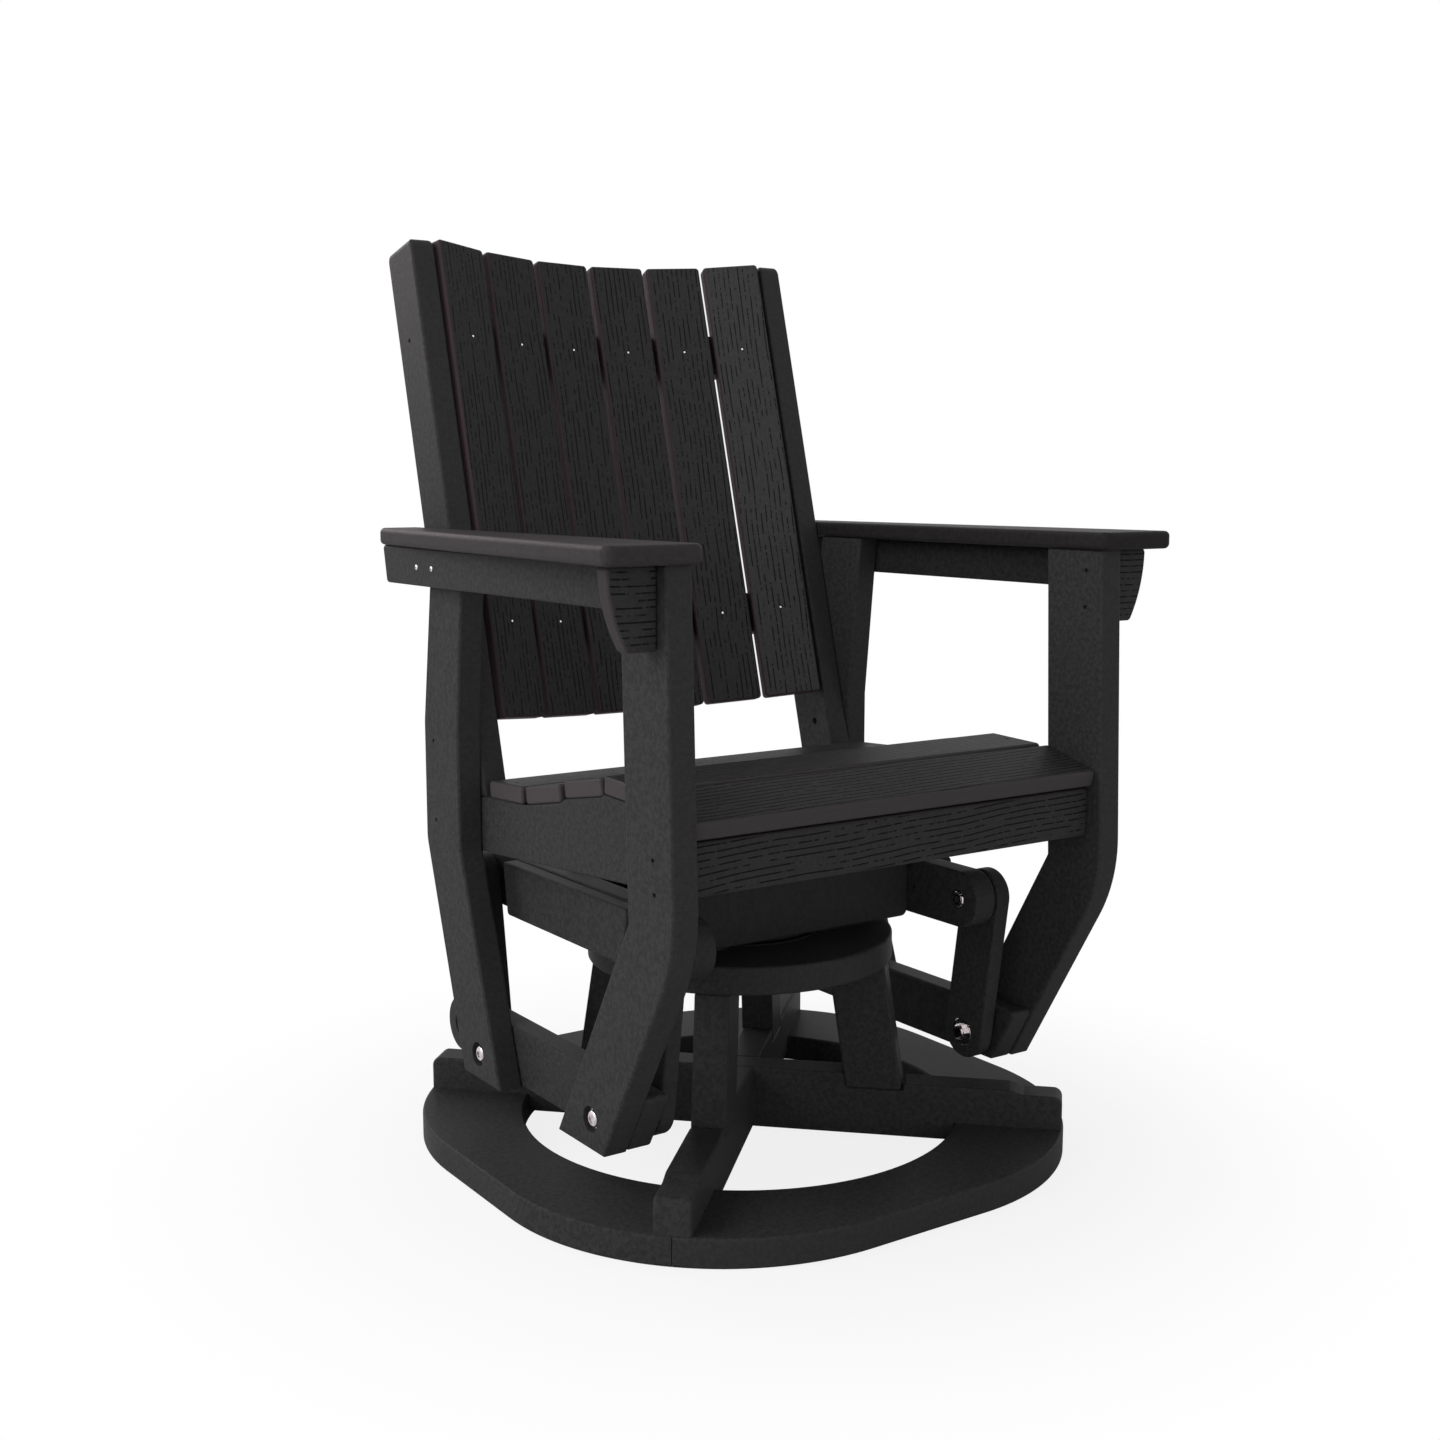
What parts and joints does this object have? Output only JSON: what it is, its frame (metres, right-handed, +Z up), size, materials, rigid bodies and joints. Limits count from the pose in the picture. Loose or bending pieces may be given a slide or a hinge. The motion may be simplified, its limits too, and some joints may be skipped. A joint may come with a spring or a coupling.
{
  "type": "swivel glider chair",
  "caption": "Outdoor armchair of dark plastic boards that glides on hanging links and swivels on a ring base.",
  "frame": {"origin": "on the ground under the swivel axis, at the middle of the base ring", "axes": "+Z up along the swivel axis, -Y is the chair's front, +X its right as seen from in front"},
  "size_m": [0.706, 0.6881, 1.017],
  "materials": {
    "board": "matt, lightly mottled plastic lumber",
    "bright_steel": "stainless",
    "coated_steel": "black coated"
  },
  "bodies": {
    "base": {"ring_segment_front": "board", "ring_segment_right": "board", "ring_segment_rear": "board", "ring_segment_left": "board", "base_beam_a": "board", "base_beam_b": "board", "base_post_rear_right": "board", "base_post_rear_left": "board", "base_post_front_left": "board", "base_post_front_right": "board", "swivel_plate": "board", "bearing_lower_plate": "coated_steel", "bearing_balls": "bright_steel"},
    "swivel_frame": {"bearing_upper_plate": "coated_steel", "cross_board_front": "board", "cross_board_rear": "board", "glider_rail_left": "board", "glider_rail_right": "board", "side_board_left": "board", "side_board_right": "board", "upper_pivot_bolts": "bright_steel", "upper_spacers": "bright_steel"},
    "front_left_link": {"link_front_left": "board"},
    "front_right_link": {"link_front_right": "board"},
    "rear_left_link": {"link_rear_left": "board"},
    "rear_right_link": {"link_rear_right": "board"},
    "chair": {"lower_rail_left": "board", "lower_rail_right": "board", "front_leg_left": "board", "front_leg_right": "board", "rear_leg_left": "board", "rear_leg_right": "board", "seat_rail_left": "board", "seat_rail_right": "board", "front_board": "board", "seat_slat_1": "board", "seat_slat_2": "board", "seat_slat_3": "board", "seat_slat_4": "board", "seat_slat_5": "board", "back_post_left": "board", "back_post_right": "board", "back_slat_1": "board", "back_slat_2": "board", "back_slat_3": "board", "back_slat_4": "board", "back_slat_5": "board", "back_slat_6": "board", "back_support_lower": "board", "back_support_upper": "board", "arm_left": "board", "arm_right": "board", "apron_left": "board", "apron_right": "board", "corbel_left": "board", "corbel_right": "board", "chair_bolts": "bright_steel", "lower_spacers": "bright_steel", "slat_screws": "coated_steel", "frame_screws": "coated_steel"}
  },
  "joints": [
    {"name": "swivel", "type": "hinge", "parent": "base", "child": "swivel_frame", "pos_m": [0, 0, 0.2447], "axis": [0, 0, 1], "continuous": true},
    {"name": "glide", "type": "hinge", "parent": "swivel_frame", "child": "front_left_link", "pos_m": [-0.214, -0.1761, 0.284], "axis": [1, 0, 0], "range_deg": [-14, 14]},
    {"name": "front_right_link_swing", "type": "hinge", "parent": "swivel_frame", "child": "front_right_link", "pos_m": [0.214, -0.1761, 0.284], "axis": [1, 0, 0], "range_deg": [-14, 14]},
    {"name": "rear_left_link_swing", "type": "hinge", "parent": "swivel_frame", "child": "rear_left_link", "pos_m": [-0.214, 0.2209, 0.284], "axis": [1, 0, 0], "range_deg": [-14, 14]},
    {"name": "rear_right_link_swing", "type": "hinge", "parent": "swivel_frame", "child": "rear_right_link", "pos_m": [0.214, 0.2209, 0.284], "axis": [1, 0, 0], "range_deg": [-14, 14]},
    {"name": "chair_level", "type": "hinge", "parent": "front_left_link", "child": "chair", "pos_m": [-0.214, -0.1521, 0.11975], "axis": [1, 0, 0], "range_deg": [-16, 16]}
  ],
  "couplings": [
    {"joint": "front_right_link_swing", "follows": "glide", "ratio": 1},
    {"joint": "rear_left_link_swing", "follows": "glide", "ratio": 1},
    {"joint": "rear_right_link_swing", "follows": "glide", "ratio": 1},
    {"joint": "chair_level", "follows": "glide", "ratio": -1.12}
  ]
}
